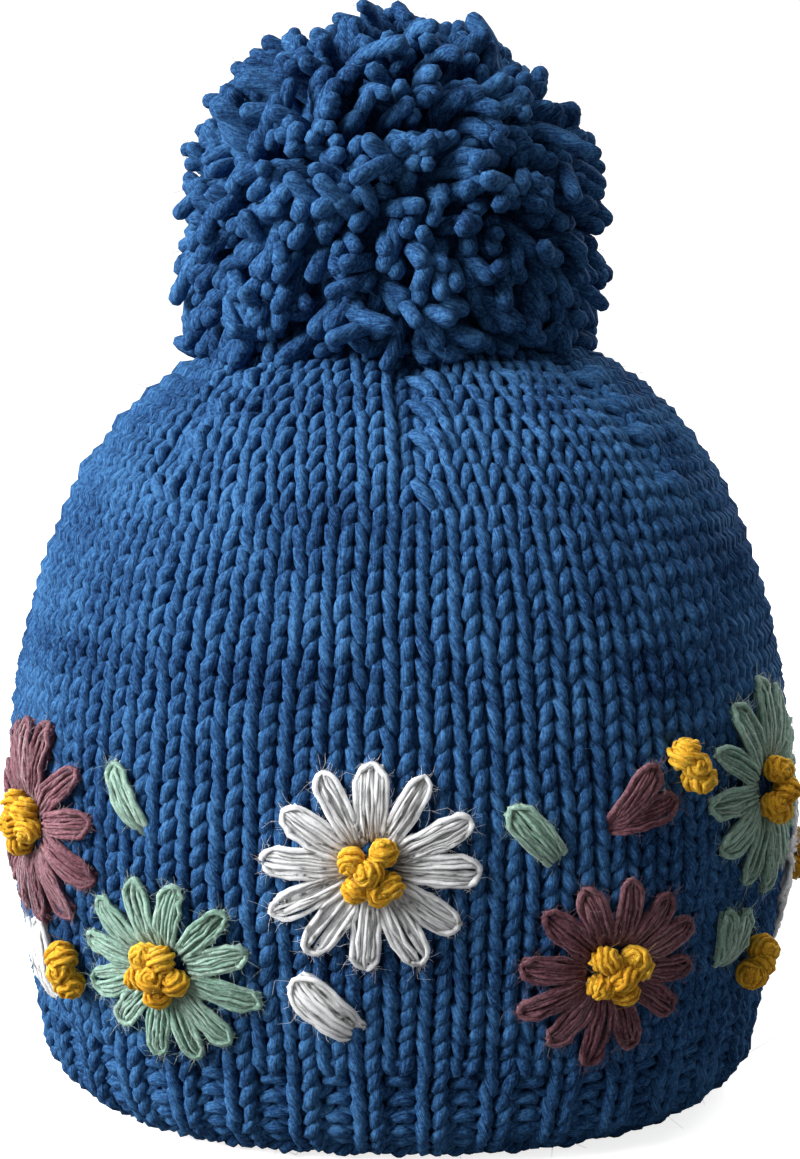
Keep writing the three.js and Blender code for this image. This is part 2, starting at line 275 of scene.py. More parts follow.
def yarn_nodes(name, sides, material):
    """A modifier's nodes that sweep each curve into a tube and note its points' places.

    The attribute thread gives a point's place across the yarn and its length along it, and strand
    gives the strand's own tint and the share of the way along it.
    """
    group = bpy.data.node_groups.new(name, "GeometryNodeTree")
    for way in ("INPUT", "OUTPUT"):
        group.interface.new_socket("Geometry", in_out=way, socket_type="NodeSocketGeometry")
    tree = Tree(group)
    entry = tree.value("NodeGroupInput")
    index = tree.value("GeometryNodeInputIndex")
    own_index = tree.value(
        "GeometryNodeFieldOnDomain", {"data_type": "INT", "domain": "CURVE"}, {"Value": index}
    )
    tint = tree.value(
        "FunctionNodeRandomValue", {"data_type": "FLOAT"}, {"ID": own_index, "Seed": TINT_SEED}, output=1
    )
    place = tree.node("GeometryNodeSplineParameter")
    capture = tree.node("GeometryNodeCaptureAttribute")
    for item in ("length", "share", "tint"):
        capture.capture_items.new("FLOAT", item)
    group.links.new(entry.socket, capture.inputs["Geometry"])
    group.links.new(place.outputs["Length"], capture.inputs["length"])
    group.links.new(place.outputs["Factor"], capture.inputs["share"])
    group.links.new(tint.socket, capture.inputs["tint"])

    circle = tree.node("GeometryNodeCurvePrimitiveCircle", None, {"Resolution": sides, "Radius": 1.0})
    edge = tree.node("GeometryNodeCaptureAttribute")
    edge.capture_items.new("VECTOR", "side")
    group.links.new(circle.outputs[0], edge.inputs["Geometry"])
    group.links.new(tree.value("GeometryNodeInputPosition").socket, edge.inputs["side"])

    tube = tree.value(
        "GeometryNodeCurveToMesh",
        None,
        {
            "Curve": Field(tree, capture.outputs["Geometry"]),
            "Profile Curve": Field(tree, edge.outputs["Geometry"]),
            "Scale": tree.value("GeometryNodeInputRadius"),
            "Fill Caps": True,
        },
    )
    side = tree.node("ShaderNodeSeparateXYZ", None, {0: Field(tree, edge.outputs["side"])})
    length = Field(tree, capture.outputs["length"]) * (1 / MM)
    thread = tree.value(
        "ShaderNodeCombineXYZ",
        None,
        {0: Field(tree, side.outputs[0]), 1: Field(tree, side.outputs[1]), 2: length},
    )
    strand = tree.value(
        "ShaderNodeCombineXYZ",
        None,
        {0: Field(tree, capture.outputs["tint"]), 1: Field(tree, capture.outputs["share"])},
    )
    for attribute, field in (("thread", thread), ("strand", strand)):
        tube = tree.value(
            "GeometryNodeStoreNamedAttribute",
            {"data_type": "FLOAT_VECTOR", "domain": "POINT"},
            {"Geometry": tube, "Name": attribute, "Value": field},
        )
    tube = tree.value("GeometryNodeSetShadeSmooth", None, {"Geometry": tube, "Shade Smooth": True})
    tube = tree.value("GeometryNodeSetMaterial", None, {"Geometry": tube, "Material": material})
    tree.node("NodeGroupOutput", None, {0: tube})
    return group


def placed(name, mesh):
    """An object of a mesh, in the scene."""
    piece = bpy.data.objects.new(name, mesh)
    bpy.context.scene.collection.objects.link(piece)
    return piece


def formed(name, form, material):
    """An object of an edited form, in one material."""
    mesh = bpy.data.meshes.new(name)
    form.to_mesh(mesh)
    form.free()
    mesh.materials.append(material)
    return placed(name, mesh)


def laid_yarn(name, material, strands, sides, closed=False):
    """A mesh object of yarn. Each strand is its points and its radius at each of them."""
    curve = bpy.data.curves.new(name, "CURVE")
    curve.dimensions = "3D"
    for points, radii in strands:
        spline = curve.splines.new("POLY")
        spline.points.add(len(points) - 1)
        place = np.column_stack((points * MM, np.ones(len(points))))
        spline.points.foreach_set("co", place.astype(np.float32).ravel())
        spline.points.foreach_set("radius", np.broadcast_to(radii * MM, len(points)).astype(np.float32))
        spline.use_cyclic_u = closed
    source = bpy.data.objects.new(name + "_paths", curve)
    bpy.context.scene.collection.objects.link(source)
    modifier = source.modifiers.new("yarn", "NODES")
    modifier.node_group = yarn_nodes(name, sides, material)
    depsgraph = bpy.context.evaluated_depsgraph_get()
    mesh = bpy.data.meshes.new_from_object(source.evaluated_get(depsgraph))
    mesh.name = name
    bpy.data.objects.remove(source)
    bpy.data.curves.remove(curve)
    return placed(name, mesh)


def stray_fibres(strands, count, length, centre, seed):
    """Fine bent hairs that stand up from strands, on the side away from the centre, as strands."""
    draw = np.random.default_rng(seed)
    picks = draw.integers(len(strands), size=count)
    hairs = []
    for pick in picks:
        points, radii = strands[pick]
        place = draw.integers(1, len(points) - 1)
        root = points[place]
        along = points[place + 1] - points[place - 1]
        along = along / max(np.linalg.norm(along), 0.01)
        outward = root - centre
        outward = outward / np.linalg.norm(outward)
        side = np.cross(along, draw.normal(size=3))
        side /= max(np.linalg.norm(side), 0.01)
        if side @ outward < 0:
            side = -side
        root = root + side * np.broadcast_to(radii, len(points))[place] * HAIR_ROOT
        way = along * draw.normal(0, 0.8) + side * draw.uniform(0.2, 0.8) + 0.35 * draw.normal(size=3)
        way /= np.linalg.norm(way)
        curl = np.cross(way, draw.normal(size=3)) * HAIR_CURL
        long = length * min(draw.lognormal(-0.5, 0.55), 1.6)
        tip = root + way * long + curl * long - outward * long * HAIR_DROOP
        bend = root + way * long * 0.55 - curl * long * 0.05
        hair = np.stack((root, bend, tip))
        hair[:, 2] = np.maximum(hair[:, 2], HAIR_FLOOR)
        hairs.append((hair, HAIR_GIRTH * TAPER))
    return hairs


def worn(piece, slot, *nodes):
    """The piece rides on the hat in place of these CAD nodes."""
    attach(piece, "root")
    if nodes:
        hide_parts(*nodes)


# Wool
FIBRES = {
    # pattern: twist in radians per mm, scale, stretch along the yarn
    "wound": (0.3, 5.5, 0.05),
    "crossing": (-0.8, 5.0, 0.09),
    "clumps": (0.3, 1.7, 0.12),
}
PATCHES = {"shade": 60.0, "speck": 1500.0}  # scales of the patterns that go on from strand to strand
COLOUR_SHARES = {"wound": 1.6, "crossing": 0.6, "clumps": 0.6, "shade": 0.8, "speck": 1.1, "tint": 0.15}
RELIEF_SHARES = {"wound": 0.8, "crossing": 0.4, "clumps": 0.3, "speck": 0.8}
STRANDS_APART = 300.0  # so that no two strands have the same pattern


def wool(name, deep, middle, pale, glow=0.0):
    """Softly twisted yarn whose fibres differ a little in colour. Glow is how much light it lets in."""
    material = bpy.data.materials.new(name)
    material.use_nodes = True
    material.node_tree.nodes.clear()
    tree = Tree(material.node_tree)
    thread = tree.value("ShaderNodeAttribute", {"attribute_name": "thread"}, output="Vector")
    strand = tree.value("ShaderNodeAttribute", {"attribute_name": "strand"}, output="Vector")
    place = tree.value("ShaderNodeTexCoord", output="Object")
    length = tree.value("ShaderNodeSeparateXYZ", None, {0: thread}, output=2)
    tint = tree.value("ShaderNodeSeparateXYZ", None, {0: strand}, output=0)
    offset = tree.value("ShaderNodeCombineXYZ", None, {2: tint * STRANDS_APART})

    def fibres(twist, scale, stretch):
        """Noise in fine lines that wind round the strand."""
        turned = tree.value(
            "ShaderNodeVectorRotate",
            {"rotation_type": "Z_AXIS"},
            {"Vector": thread, "Angle": length * twist},
        )
        turned = tree.value("ShaderNodeVectorMath", {"operation": "ADD"}, {0: turned, 1: offset})
        lines = tree.value("ShaderNodeMapping", None, {"Vector": turned, "Scale": (1.0, 1.0, stretch)})
        return tree.value(
            "ShaderNodeTexNoise", None, {"Vector": lines, "Scale": scale, "Detail": 3.0, "Roughness": 0.6}
        )

    patterns = {pattern: fibres(*row) for pattern, row in FIBRES.items()}
    for pattern, scale in PATCHES.items():
        patterns[pattern] = tree.value(
            "ShaderNodeTexNoise", None, {"Vector": place, "Scale": scale, "Detail": 3.0}
        )
    patterns["tint"] = tint
    mixed = sum(patterns[pattern] * share for pattern, share in COLOUR_SHARES.items())
    centred = mixed - (sum(COLOUR_SHARES.values()) / 2 - 0.5)
    ramp = tree.node("ShaderNodeValToRGB", None, {0: centred})
    stops = ramp.color_ramp.elements
    stops[0].position, stops[0].color = 0.1, (*deep, 1)
    stops[1].position, stops[1].color = 0.9, (*pale, 1)
    stops.new(0.5).color = (*middle, 1)
    relief = sum(patterns[pattern] * share for pattern, share in RELIEF_SHARES.items())
    normal = tree.value(
        "ShaderNodeBump", None, {"Strength": 0.7, "Distance": 0.2 * MM, "Height": relief}
    )
    shader = tree.value(
        "ShaderNodeBsdfPrincipled",
        None,
        {
            "Base Color": Field(tree, ramp.outputs[0]),
            "Roughness": 0.95,
            "Specular IOR Level": 0.08,
            "Sheen Weight": 0.15,
            "Sheen Roughness": 0.4,
            "Sheen Tint": (*pale, 1),
            "Subsurface Weight": glow,
            "Subsurface Radius": (1.0, 1.0, 1.0),
            "Subsurface Scale": 1.4 * MM,
            "Normal": normal,
        },
    )
    tree.node("ShaderNodeOutputMaterial", None, {0: shader})
    return material


BLUE = wool("blue_yarn", (0.0045, 0.015, 0.055), (0.018, 0.066, 0.172), (0.050, 0.150, 0.320))
WHITE = wool("white_yarn", (0.58, 0.59, 0.61), (0.76, 0.77, 0.78), (0.81, 0.81, 0.82), 1.0)
ROSE = wool("rose_yarn", (0.060, 0.022, 0.030), (0.150, 0.062, 0.080), (0.29, 0.15, 0.17), 0.5)
SAGE = wool("sage_yarn", (0.10, 0.18, 0.14), (0.21, 0.35, 0.28), (0.36, 0.50, 0.42), 0.6)
MUSTARD = wool("mustard_yarn", (0.26, 0.10, 0.006), (0.60, 0.29, 0.018), (0.84, 0.50, 0.06), 0.6)


# Camera
LENS, SENSOR = 60.79, 36  # mm, the sensor's along the frame's longer side, its height
EYE = (0, -0.41781, 0.16539)  # metres
LOOKED_AT = (0, 0, 0.1025)


def facing(place, target):
    """The turn of a camera or a lamp that stands at a place and looks at a target."""
    return (Vector(target) - Vector(place)).to_track_quat("-Z", "Y").to_euler()


camera_data = bpy.data.cameras.new("camera")
camera_data.lens = LENS
camera_data.sensor_width = SENSOR
camera = bpy.data.objects.new("camera", camera_data)
camera.location = EYE
camera.rotation_euler = facing(EYE, LOOKED_AT)
bpy.context.scene.collection.objects.link(camera)
bpy.context.scene.camera = camera


# The knitting
def wander(around, up, waves, seed, size):
    """A slow, even-tempered noise of about that size that closes on itself round the hat."""
    draw = np.random.default_rng(seed)
    total = np.zeros(np.broadcast(around, up).shape)
    for turns in waves:
        rise = draw.uniform(0.5, 1.5) * draw.choice((-1, 1))
        start = draw.uniform(0, 2 * math.pi)
        total += np.sin(2 * math.pi * turns * around + rise * turns * up / WAVE_LEAN + start)
    return total / math.sqrt(len(waves)) * size


def stitch_course(slots, up, height, kinds, lean):
    """One course of stitches as a closed strand.

    Slots gives the share of the way round at each stitch's left and right edge, and kinds is 1
    for a knit stitch and -1 for a purl stitch in the rib, and 0 for plain fabric.
    """
    count = len(slots)
    turn = np.linspace(0, 2 * math.pi, STITCH_STEPS, endpoint=False)[None, :]
    left, right = slots[:, 0][:, None], slots[:, 1][:, None]
    kinds = np.asarray(kinds)[:, None]
    legs = np.sin(turn) ** 2  # 1 halfway up a stitch's legs, 0 at its top and foot
    along = -np.cos(turn) * np.ones((count, 1))
    tall = 1 + TALL_SPREAD * rng.standard_normal((count, 1))
    tip = lean + TIP_SPREAD * rng.standard_normal((count, 1))
    tipped = tip * along * (1 - np.abs(along) * TIP_SHARE)
    across = turn / (2 * math.pi) + STITCH_WAVE * np.sin(2 * turn) + tipped
    across = across + ACROSS_SPREAD * rng.standard_normal((count, 1))
    around = left + (right - left) * across
    lift = (1 - np.cos(turn)) / 2
    plain = -STITCH_DEPTH * np.cos(2 * turn)
    knit = KNIT_BULGE * legs - KNIT_DIP * lift**4
    purl = PURL_BULGE * lift**2 - PURL_DIP * legs
    ribbed = np.where(kinds > 0, knit, purl)
    depth = np.where(kinds == 0, plain, ribbed)
    depth = depth + DEPTH_SPREAD * rng.standard_normal((count, 1)) * legs
    purl_girth = PURL_GIRTH - PURL_THINNING * legs
    plump = np.where(kinds < 0, purl_girth, STITCH_GIRTH + STITCH_SWELLING * legs)
    uneven = 1 + STITCH_GIRTH_SPREAD * rng.standard_normal((count, 1))
    uneven = uneven + POINT_GIRTH_SPREAD * rng.standard_normal(along.shape)
    radius = YARN_RADIUS * plump * uneven
    place = up + STITCH_TALL * height * tall * along
    out = depth - STITCH_DEPTH - YARN_RADIUS
    return around.ravel(), place.ravel(), out.ravel(), radius.ravel()


def laid_course(around, up, out, radius):
    """A course on the wall, with the unevenness of hand knitting."""
    sag = wander(around, up, *SAG) * np.minimum(up / SAG_START, 1)
    place = np.clip(up + sag, 0, FULL_LENGTH)
    return wall(around + wander(around, up, *DRIFT), place, out + wander(around, up, *SWELL)), radius


def even_slots(count):
    """Edges of stitches that are all alike, the first of them centred on the front."""
    start = (np.arange(count) - 0.5) / count
    return np.stack((start, start + 1 / count), axis=1)


def rib_slots():
    """Edges of the rib's stitches: purl columns are narrow and knit columns wide."""
    slots = even_slots(WALES)
    pairs = WALES / 2
    return slots - KNIT_WIDER * np.sin(2 * math.pi * pairs * slots) / (2 * math.pi * pairs)


def skin(name, low, high, out):
    """A blue sheet that follows the wall between two lengths up it."""
    form = bmesh.new()
    bmesh.ops.create_grid(form, x_segments=120, y_segments=12, size=0.5)
    place = np.array([vertex.co for vertex in form.verts])
    rise = low + (high - low) * (place[:, 1] + 0.5)
    points = wall(place[:, 0], rise, np.full(len(place), out)) * MM
    for vertex, point in zip(form.verts, points):
        vertex.co = point
    bmesh.ops.remove_doubles(form, verts=form.verts, dist=0.05 * MM)
    bmesh.ops.recalc_face_normals(form, faces=form.faces)
    return formed(name, form, BLUE)


def joined(piece, other):
    """The piece with another object's mesh added to it."""
    both = [piece, other]
    with bpy.context.temp_override(
        active_object=piece, selected_editable_objects=both, selected_objects=both
    ):
        bpy.ops.object.join()
    return piece


def knitted(name, strands, low, high, out, node):
    """A piece of knitting in place of a CAD node, with a sheet behind its stitches."""
    piece = laid_yarn(f"knitted_{name}", BLUE, strands, YARN_SIDES, closed=True)
    worn(joined(piece, skin(f"{name}_skin", low, high, out)), "blue_wool", node)


# Brim
rib_step = (RIB_TOP - RIB_INSET) / RIB_COURSES
rib_kinds = [-1 if wale % 2 == 0 else 1 for wale in range(WALES)]
brim_strands = []
for course in range(RIB_COURSES):
    up = RIB_START + rib_step * (course + RIB_MIDDLE)
    brim_strands.append(laid_course(*stitch_course(rib_slots(), up, rib_step, rib_kinds, LOWEST_LEAN)))
edge_around = np.linspace(0, 1, EDGE_POINTS, endpoint=False)
edge_turn = 2 * math.pi * edge_around * WALES
for ply in (0, math.pi):
    edge_out = EDGE_OUT + EDGE_TWIST * np.cos(edge_turn + ply)
    edge_out += EDGE_PUCKER * np.cos(edge_around * math.pi * WALES)
    edge_up = EDGE_UP + EDGE_TWIST * np.sin(edge_turn + ply)
    brim_strands.append((wall(edge_around, edge_up, edge_out), np.full(EDGE_POINTS, EDGE_RADIUS)))
knitted("brim", brim_strands, EDGE_LOWEST, RIB_TOP, BRIM_SKIN, "ribbed_brim")

# Crown
body_steps = np.linspace(FIRST_COURSE, LAST_COURSE, BODY_COURSES)
body_steps *= (CLOSING_START - RIB_TOP) / body_steps.sum()
body_ups = RIB_TOP + np.cumsum(body_steps) - body_steps / 2
body_strands = []
for up, step in zip(body_ups, body_steps):
    lean = np.interp(up, *LEAN)
    body_strands.append(laid_course(*stitch_course(even_slots(WALES), up, step, np.zeros(WALES), lean)))
half = BODY_COURSES // 2
middle_up = body_ups[half] - body_steps[half] / 2
knitted("lower", body_strands[:half], RIB_TOP, middle_up, LOWER_SKIN, "crown")
knitted("middle", body_strands[half:], middle_up, CLOSING_START, MIDDLE_SKIN, "crown")


def closing_slots(course):
    """Edges of the stitches of a closing course: each section keeps its columns from its right edge."""
    count = CLOSING_COUNTS[course]
    columns = np.interp(course, COUNT_MIDDLES, range(WALES // SECTIONS, 0, -1))
    edges = np.arange(count + 1)
    share = edges / columns + (1 - count / columns) * (edges / count) ** 3
    start, end = 1 - share[1:], 1 - share[:-1]
    section_slots = np.stack((start, end), axis=1)[::-1]
    return np.concatenate([(section_slots + k) / SECTIONS for k in range(SECTIONS)]) + SECTION_SHIFT


closing_strands = []
for course, count in enumerate(CLOSING_COUNTS):
    up = min(CLOSING_START + CLOSING_COURSE * (course + 0.5), FULL_LENGTH - CLOSING_MARGIN)
    stitches = closing_slots(course), up, CLOSING_COURSE, np.zeros(SECTIONS * count), CLOSING_LEAN
    around, place, out, radius = stitch_course(*stitches)
    if course == 0 or CLOSING_COUNTS[course - 1] != count:
        first = np.arange(len(around)) // STITCH_STEPS % count == 0
        width = 1 / (SECTIONS * count)
        around = around - np.where(first, DECREASE_LEAN * width * (place - up) / CLOSING_COURSE, 0)
        out = out + np.where(first, DECREASE_OUT, 0)
        radius = radius * np.where(first, DECREASE_GIRTH, 1)
    sections_on = (around - SECTION_SHIFT) * SECTIONS
    off_line = np.abs(sections_on - np.round(sections_on)) / SECTIONS * GIRTH * reach_at(place)
    groove = CLOSING_DEPTH * np.exp(-((off_line / CLOSING_WIDTH) ** 2))
    out = out - groove * min(course / 2, 1)
    narrow = reach_at(place) * GIRTH / (SECTIONS * count) / FULL_WIDTH
    radius = radius * np.clip(narrow, LEAST_GIRTH, 1)
    closing_strands.append(laid_course(around, place, out, radius))
knitted("top", closing_strands, CLOSING_START, FULL_LENGTH - TOP_GAP, TOP_SKIN, "crown")


# Pompom
POMPOM_MIDDLE = np.array((-2.0, 0.0, 172.0))
POMPOM_SPREAD, POMPOM_RISE = 45.0, 48.3  # reach sideways and upwards
POMPOM_SQUARENESS = 2.4  # power of the superellipse that the pompom is from the side
POMPOM_TAPER = 0.05  # how much narrower it is at its top, and wider at its foot
LOCKS = 1300
LOCK_RADIUS = 1.85
LOCK_LENGTH = 24.0
LOCK_STEPS = 20  # of the path on which a lock turns aside
LOCK_UNEVEN = 1.7  # how far its end strays from the pompom's outer face
FLOW_SHARE, STRAY_SHARE = 0.6, 0.85  # how much a lock turns with those near it, and on its own
DOWNWARDS = 1.1  # how much a level lock is drawn down as it turns
TURN_RATE, SWAY_RATE = 0.34, 0.14  # of a lock's heading, at each step
LOCK_GIRTH = np.array((0.8, 0.9, 0.97, 1, 1, 1, 0.87, 0.52, 0.12))  # from its root to its rounded tip
TIP_PLACES = np.array((1, 0.5, 0.14, 0))  # of the last four of these, in radii from the tip
PRESSED = 0.7  # share of its girth by which a lock clears the crown that it lies on
CORE_SHARE = 0.8  # of the pompom, close packed, between the locks
CORE_UNEVEN = 1.1
LOWEST_LOCK = -0.5  # sine of how far below level a lock may point


def unit(vectors):
    """Each vector at length 1."""
    return vectors / np.linalg.norm(vectors, axis=-1, keepdims=True)


def pompom_reach(aim):
    """Distance from the pompom's middle to its outer face, along each aim."""
    power = POMPOM_SQUARENESS
    spread = POMPOM_SPREAD * (1 - POMPOM_TAPER * aim[:, 2])
    level = np.hypot(aim[:, 0], aim[:, 1])
    return ((level / spread) ** power + (np.abs(aim[:, 2]) / POMPOM_RISE) ** power) ** (-1 / power)


def crown_under(points):
    """Height of the crown's outer face under each of some points."""
    spread = np.hypot(points[:, 0], points[:, 1] / DEPTH_SHARE)
    return np.interp(-spread, -profile[:, 0], profile[:, 1])


def pompom_core():
    """The closely packed inside of the pompom, seen in the gaps between its locks."""
    form = bmesh.new()
    bmesh.ops.create_icosphere(form, subdivisions=4, radius=1)
    aim = unit(np.array([vertex.co for vertex in form.verts]))
    uneven = np.random.default_rng(22).normal(0, CORE_UNEVEN, len(aim))
    points = POMPOM_MIDDLE + aim * (pompom_reach(aim) * CORE_SHARE + uneven)[:, None]
    points[:, 2] = np.maximum(points[:, 2], crown_under(points) - 1)
    for vertex, point in zip(form.verts, points * MM):
        vertex.co = point
    return formed("core", form, BLUE)


def pompom_locks():
    """Strands that start deep in the pompom and turn aside as they reach its surface."""
    draw = np.random.default_rng(21)
    number = np.arange(LOCKS)
    height = 1 - (1 - LOWEST_LOCK) * (number + 0.5) / LOCKS
    turn = number * math.pi * (3 - math.sqrt(5)) + draw.normal(0, 0.15, LOCKS)
    height = np.clip(height + draw.normal(0, 0.03, LOCKS), LOWEST_LOCK, 1)
    flat = np.sqrt(1 - height**2)
    aim = np.stack((flat * np.cos(turn), flat * np.sin(turn), height), axis=1)
    x, y, z = aim.T
    flow = np.stack((np.sin(4 * y + 5 * z + 1), np.cos(5 * x - 4 * z), np.sin(5 * x + 4 * y)), axis=1)
    aside = FLOW_SHARE * flow + STRAY_SHARE * draw.normal(size=(LOCKS, 3))
    aside[:, 2] -= DOWNWARDS * (1 - np.maximum(z, 0))
    aside = unit(aside - aim * np.sum(aside * aim, axis=1, keepdims=True))
    goal = unit(aim * draw.uniform(0.1, 1.7, (LOCKS, 1)) + aside)
    wriggle = np.cross(aim, aside) * draw.normal(0, 0.5, (LOCKS, 1))
    heading, point, path = aim, np.zeros((LOCKS, 3)), [np.zeros((LOCKS, 3))]
    start_turning = draw.uniform(0.35, 0.7, (LOCKS, 1))
    for step in range(LOCK_STEPS):
        share = (step + 0.5) / LOCK_STEPS
        late = np.clip((share - start_turning) / (1 - start_turning), 0, 1)
        sway = wriggle * np.cos(2 * math.pi * (share * 1.2 + number[:, None] * 0.37))
        heading = unit(heading + TURN_RATE * (late > 0) * (goal - heading) + SWAY_RATE * sway)
        point = point + heading * LOCK_LENGTH / LOCK_STEPS
        path.append(point)
    path = np.stack(path, axis=1)
    reach = pompom_reach(aim) + draw.normal(0, LOCK_UNEVEN, LOCKS) - LOCK_RADIUS
    farthest = np.einsum("nsk,nk->ns", path, aim).max(axis=1)
    path = path + POMPOM_MIDDLE + (aim * (reach - farthest)[:, None])[:, None, :]

    fine = np.linspace(0, LOCK_LENGTH, LOCK_STEPS + 1)
    shaft = np.linspace(0, 1, len(LOCK_GIRTH) - len(TIP_PLACES), endpoint=False) ** 0.8
    locks = []
    for middle_line in path:
        radius = LOCK_RADIUS * draw.uniform(0.86, 1.1)
        round_end = LOCK_LENGTH - radius * TIP_PLACES
        places = np.concatenate((shaft * round_end[0], round_end))
        points = np.stack([np.interp(places, fine, line) for line in middle_line.T], axis=1)
        girth = LOCK_GIRTH * radius
        points[:, 2] = np.maximum(points[:, 2], crown_under(points) + girth * PRESSED)
        locks.append((points, girth))
    return locks


pompom_strands = pompom_locks()
pompom_hairs = stray_fibres(pompom_strands, POMPOM_HAIRS, POMPOM_HAIR_LENGTH, POMPOM_MIDDLE, 31)
pompom = laid_yarn("pompom_locks", BLUE, pompom_strands, sides=6)
worn(joined(pompom, pompom_core()), "blue_wool", "pompom")
worn(laid_yarn("pompom_fibres", BLUE, pompom_hairs, sides=3), "blue_wool")

knit_strands = brim_strands + body_strands + closing_strands
knit_hairs = stray_fibres(knit_strands, KNIT_HAIRS, KNIT_HAIR_LENGTH, HAT_MIDDLE, 32)
worn(laid_yarn("knitted_fibres", BLUE, knit_hairs, sides=3), "blue_wool")


# Embroidery
DAISIES = (
    # name, around, up, tip of the petals, turn in degrees, wool
    ("front_white", -0.010, 65.8, 20.6, 4, WHITE),
    ("front_left_sage", -0.087, 43.4, 18.9, 12, SAGE),
    ("left_rose", -0.156, 65.8, 21.4, 20, ROSE),
    ("front_right_rose", 0.077, 44.3, 18.9, 8, ROSE),
    ("right_sage", 0.156, 72.7, 21.0, 0, SAGE),
    ("right_white", 0.226, 50.0, 19.2, 15, WHITE),
    ("back_right_rose", 0.312, 67.0, 20.4, 6, ROSE),
    ("back_right_sage", 0.392, 44.5, 19.0, 22, SAGE),
    ("back_white", 0.475, 66.0, 20.6, 10, WHITE),
    ("back_left_rose", -0.442, 44.0, 19.0, 3, ROSE),
    ("back_left_sage", -0.352, 68.5, 20.6, 17, SAGE),
    ("left_white", -0.262, 46.0, 19.4, 25, WHITE),
)
LEAVES = (
    # name, around, up, length, width, lean in degrees, wool
    ("left_sage", -0.1, 76, 15, 4.8, -30, SAGE),
    ("front_white", -0.027, 38.7, 16.6, 8.2, -46, WHITE),
    ("front_sage", 0.047, 71.4, 15, 6.4, -42, SAGE),
    ("back_right_sage", 0.357, 79, 15, 7.2, -32, SAGE),
    ("back_white", 0.446, 39, 16, 8, 40, WHITE),
)
BUDS = (
    # name, around, up, length, lean in degrees, direction of the knots in degrees, wool
    ("right_rose", 0.0865, 75.5, 14.5, 58, 58, ROSE),
    ("right_sage", 0.134, 45, 13, 12, 128, SAGE),
    ("left_white", -0.160, 36.8, 19, -20, 80, WHITE),
    ("back_rose", -0.418, 82, 14, 50, 60, ROSE),
    ("back_sage", -0.318, 40, 13, 10, 130, SAGE),
)
SLOT_OF = {WHITE: "white_wool", ROSE: "rose_wool", SAGE: "sage_wool"}
PETALS = 12
PETAL_START = 3.5  # from the middle of its daisy
PETAL_HALF = 2.85  # half its width, in a daisy whose tips are at FULL_TIP
FULL_TIP = 20
TIP_REACH = 1.35  # length of a petal's rounded tip over half its width
PETAL_RISE = 1.5
PETAL_YARN = 0.6  # radius of the strand round it
PETAL_BODY = 1.3  # radius of the two thick strands inside
PETAL_FIBRE = 0.36  # radius of the strands on top
PETAL_FIBRES = 6
PETAL_FUZZ = 70  # hairs that lie round a petal
PETAL_FUZZ_LENGTH = 1.5
PETAL_ROUGHNESS = 0.16  # how far the strands stray
KNOT_RADIUS = 2.8
KNOT_YARN = 0.5
KNOT_TURNS = 4.9
KNOT_POINTS = 54
KNOTS = 6  # the last of them on top of a ring of the others
KNOT_RING = 3.9
RING_OUT, TOP_OUT = 2.4, 3.8
BUD_KNOT_RADIUS = 3.3
BUD_KNOTS_APART = 2.7  # each of its two large knots from the middle between them
BUD_KNOTS_OUT, BUD_TOP_OUT = 2.2, 3.2
BUD_KNOT_GAP = 1.0  # between them and the end of its petals
BUD_SPREAD = 16  # degrees to each side
BUD_APART = PETAL_HALF * 0.72  # each of its two petals from the middle between them
ANCHOR = {"outline": 2.2, "body": 1.5, "fibres": 2.4}  # how deep the strands' lower ends go in


def petal_arch(share):
    """How far out a petal stands at a share of the way along it, from 0 to 1."""
    return np.clip(np.sin(math.pi * np.clip(0.06 + 0.86 * share, 0, 1)), 0.05, 1) ** 0.6


